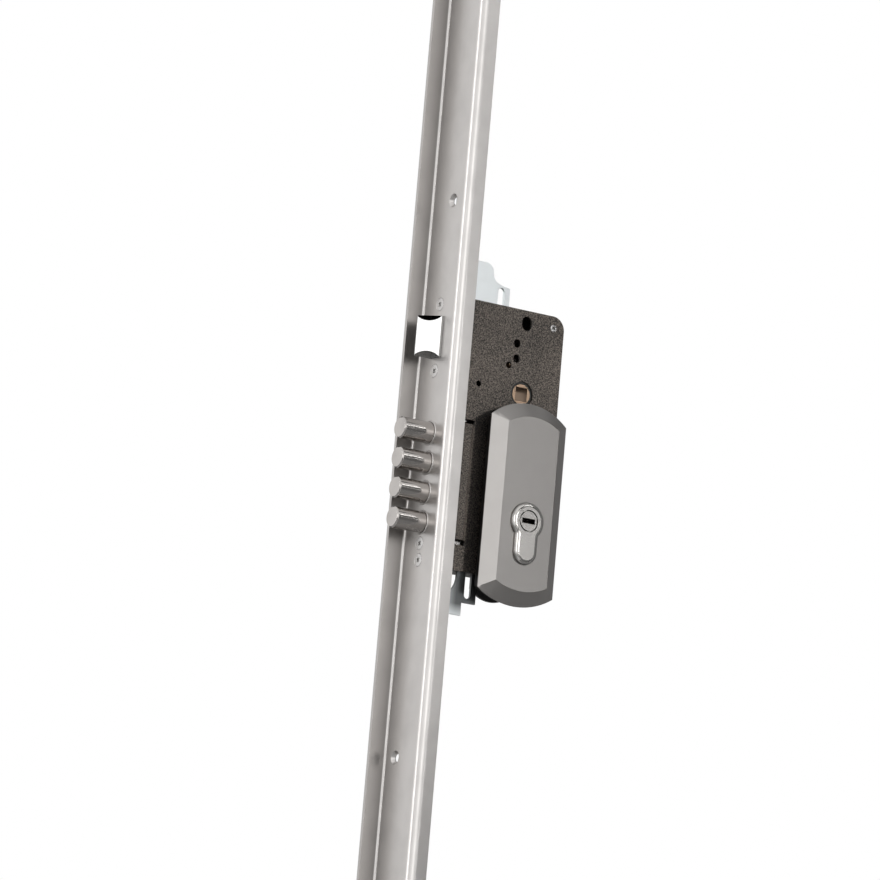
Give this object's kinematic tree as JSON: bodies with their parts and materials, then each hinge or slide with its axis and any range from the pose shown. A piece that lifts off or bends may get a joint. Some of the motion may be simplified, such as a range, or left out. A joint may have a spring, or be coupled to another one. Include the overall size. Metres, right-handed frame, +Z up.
{
  "type": "multipoint mortise door lock",
  "caption": "Multipoint mortise door lock with folded steel forend, round deadbolts, latch, profile cylinder behind an escutcheon, and driven top and bottom rods.",
  "frame": {"origin": "front face of the forend web, on the middle plane of the case, at the height of the cylinder axis", "axes": "+X goes into the door, +Y goes to the inside of the door, +Z is up along the forend"},
  "size_m": [0.1143, 0.0572, 0.832],
  "materials": {
    "forend_steel": "satin stainless",
    "case_paint": "dark hammertone",
    "bolt_steel": "polished",
    "latch_chrome": "bright plated",
    "zinc_plate": "bright zinc plated",
    "follower_copper": "copper coloured cast metal",
    "black_nylon": "moulded",
    "bright_steel": "turned or pressed steel",
    "gear_brass": "cut brass",
    "nickel": "polished nickel",
    "escutcheon_satin": "satin grey metallic",
    "dark_metal": "black"
  },
  "bodies": {
    "lock": {"forend": "forend_steel", "forend_screws": "bright_steel", "case_body": "case_paint", "case_cover": "case_paint", "case_rivets": "bright_steel", "carrier_guide_pin": "bright_steel", "latch_spring": "bright_steel", "latch_guide": "bright_steel", "follower_bushes": "black_nylon", "gear_stud": "bright_steel", "gear_clip": "dark_metal", "link_guide_rivets": "dark_metal", "rod_guide_1": "bright_steel", "rod_guide_2": "bright_steel", "rod_guide_3": "bright_steel", "rod_guide_4": "bright_steel", "upper_end_guide": "bright_steel", "lower_end_guide": "bright_steel", "end_guide_screws": "bright_steel", "cylinder_body": "nickel", "driver_pins": "gear_brass", "cylinder_screw": "bright_steel", "escutcheon": "escutcheon_satin", "backing_plate": "dark_metal", "cylinder_protector": "nickel", "escutcheon_posts": "dark_metal", "clamp_plate": "dark_metal", "clamp_screws": "bright_steel"},
    "bolts": {"deadbolt_1": "bolt_steel", "deadbolt_2": "bolt_steel", "deadbolt_3": "bolt_steel", "deadbolt_4": "bolt_steel", "bolt_carrier": "bright_steel", "carrier_rivets": "bright_steel"},
    "gear": {"drive_gear": "gear_brass"},
    "cam": {"cylinder_cam": "bright_steel"},
    "outer_key_plug": {"outer_plug": "nickel"},
    "inner_key_plug": {"inner_plug": "nickel"},
    "upper_drive": {"upper_link": "zinc_plate", "upper_drive_pin": "bright_steel", "upper_coupling": "bright_steel", "upper_rivets": "bright_steel", "upper_rod": "zinc_plate", "upper_shoot_bolt": "bolt_steel"},
    "lower_drive": {"lower_link": "zinc_plate", "lower_drive_pin": "bright_steel", "lower_coupling": "bright_steel", "lower_rivets": "bright_steel", "lower_rod": "zinc_plate", "lower_shoot_bolt": "bolt_steel"},
    "latch": {"latch_head": "latch_chrome", "latch_tail": "bright_steel"},
    "handle_follower": {"follower": "follower_copper"}
  },
  "joints": [
    {"name": "bolt_throw", "type": "slide", "parent": "lock", "child": "bolts", "axis": [1, 0, 0], "range_m": [0, 0.02]},
    {"name": "gear_turn", "type": "hinge", "parent": "lock", "child": "gear", "pos_m": [0.051, 0, 0.02389], "axis": [0, 1, 0], "range_deg": [0, 225.01]},
    {"name": "cam_turn", "type": "hinge", "parent": "lock", "child": "cam", "pos_m": [0.063, 0, 0], "axis": [0, 1, 0], "range_deg": [-720.01, 0]},
    {"name": "outer_plug_turn", "type": "hinge", "parent": "lock", "child": "outer_key_plug", "pos_m": [0.063, 0, 0], "axis": [0, 1, 0], "range_deg": [-720.01, 0]},
    {"name": "inner_plug_turn", "type": "hinge", "parent": "lock", "child": "inner_key_plug", "pos_m": [0.063, 0, 0], "axis": [0, 1, 0], "range_deg": [-720, 0]},
    {"name": "upper_rod_slide", "type": "slide", "parent": "lock", "child": "upper_drive", "axis": [0, 0, 1], "range_m": [-0.012, 0]},
    {"name": "lower_rod_slide", "type": "slide", "parent": "lock", "child": "lower_drive", "axis": [0, 0, 1], "range_m": [0, 0.012]},
    {"name": "latch_slide", "type": "slide", "parent": "lock", "child": "latch", "axis": [1, 0, 0], "range_m": [0, 0.012], "stiffness_N_per_m": 500, "springref_m": -0.012, "deforming": ["latch_spring"]},
    {"name": "follower_turn", "type": "hinge", "parent": "lock", "child": "handle_follower", "pos_m": [0.063, 0, 0.085], "axis": [0, 1, 0], "range_deg": [0, 34.38]}
  ],
  "couplings": [
    {"joint": "gear_turn", "follows": "bolt_throw", "rad_per_m": 196.35},
    {"joint": "cam_turn", "follows": "bolt_throw", "rad_per_m": -628.32},
    {"joint": "outer_plug_turn", "follows": "bolt_throw", "rad_per_m": -628.32},
    {"joint": "upper_rod_slide", "follows": "bolt_throw", "ratio": -0.6},
    {"joint": "lower_rod_slide", "follows": "bolt_throw", "ratio": 0.6},
    {"joint": "follower_turn", "follows": "latch_slide", "rad_per_m": 50}
  ]
}
